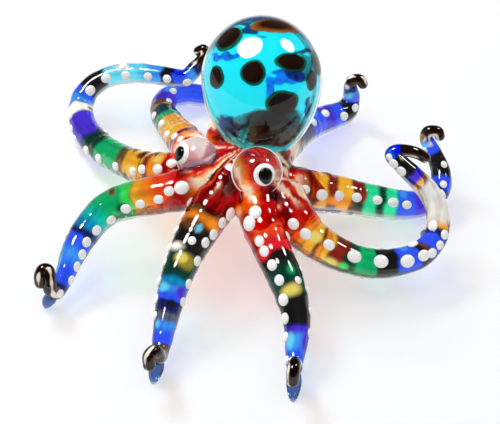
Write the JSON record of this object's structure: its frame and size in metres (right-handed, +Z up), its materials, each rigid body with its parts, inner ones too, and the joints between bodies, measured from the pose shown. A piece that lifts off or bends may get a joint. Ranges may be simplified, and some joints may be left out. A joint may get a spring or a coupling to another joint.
{
  "type": "octopus figurine",
  "caption": "Flameworked glass octopus with a cased spotted bulb, bead eyes and banded curling arms with raised dots.",
  "frame": {"origin": "on the table, under the middle of the spread of the arms", "axes": "+Z up, -Y towards the picture's viewer, +X to the viewer's right"},
  "size_m": [0.1149, 0.1199, 0.0565],
  "materials": {
    "ruby_glass": "fire-polished transparent ruby",
    "amber_glass": "fire-polished transparent amber",
    "emerald_glass": "fire-polished transparent emerald",
    "black_glass": "fire-polished opaque black",
    "cobalt_glass": "fire-polished transparent cobalt",
    "azure_glass": "fire-polished transparent azure",
    "turquoise_glass": "fire-polished dense turquoise",
    "clear_glass": "fire-polished clear",
    "grey_glass": "fire-polished clear with a grey-green cast",
    "white_glass": "fire-polished opaque white",
    "pale_blue_glass": "fire-polished translucent pale blue"
  },
  "bodies": {
    "root": {"arm_left_front_root": "ruby_glass", "arm_left_front_shoulder": "amber_glass", "arm_left_front_middle": "emerald_glass", "arm_left_front_end": "cobalt_glass", "arm_left_front_hook": "black_glass", "arm_left_front_underside": "grey_glass", "arm_front_left_root": "ruby_glass", "arm_front_left_shoulder": "black_glass", "arm_front_left_middle": "emerald_glass", "arm_front_left_end": "cobalt_glass", "arm_front_left_hook": "black_glass", "arm_front_left_underside": "grey_glass", "arm_front_right_root": "ruby_glass", "arm_front_right_shoulder": "black_glass", "arm_front_right_middle": "black_glass", "arm_front_right_end": "cobalt_glass", "arm_front_right_hook": "black_glass", "arm_front_right_underside": "grey_glass", "arm_right_loop_root": "ruby_glass", "arm_right_loop_shoulder": "amber_glass", "arm_right_loop_middle": "black_glass", "arm_right_loop_end": "cobalt_glass", "arm_right_loop_hook": "black_glass", "arm_right_loop_underside": "grey_glass", "arm_right_root": "amber_glass", "arm_right_shoulder": "ruby_glass", "arm_right_middle": "emerald_glass", "arm_right_end": "cobalt_glass", "arm_right_hook": "black_glass", "arm_right_underside": "grey_glass", "arm_back_right_root": "ruby_glass", "arm_back_right_shoulder": "cobalt_glass", "arm_back_right_middle": "black_glass", "arm_back_right_end": "azure_glass", "arm_back_right_hook": "black_glass", "arm_back_right_underside": "grey_glass", "arm_back_left_root": "amber_glass", "arm_back_left_shoulder": "emerald_glass", "arm_back_left_middle": "cobalt_glass", "arm_back_left_end": "cobalt_glass", "arm_back_left_hook": "black_glass", "arm_back_left_underside": "grey_glass", "arm_left_loop_root": "amber_glass", "arm_left_loop_shoulder": "emerald_glass", "arm_left_loop_middle": "cobalt_glass", "arm_left_loop_end": "azure_glass", "arm_left_loop_hook": "black_glass", "arm_left_loop_underside": "grey_glass", "head": "ruby_glass", "mantle_casing": "clear_glass", "mantle_core": "turquoise_glass", "mantle_spots": "black_glass", "eye_bead_left": "clear_glass", "eye_bead_right": "clear_glass", "eye_whites": "white_glass", "eye_pupils": "black_glass", "dots_left_arms": "white_glass", "dots_right_arms": "white_glass", "pointed_feet": "pale_blue_glass", "underside_nubs": "grey_glass"}
  },
  "joints": []
}
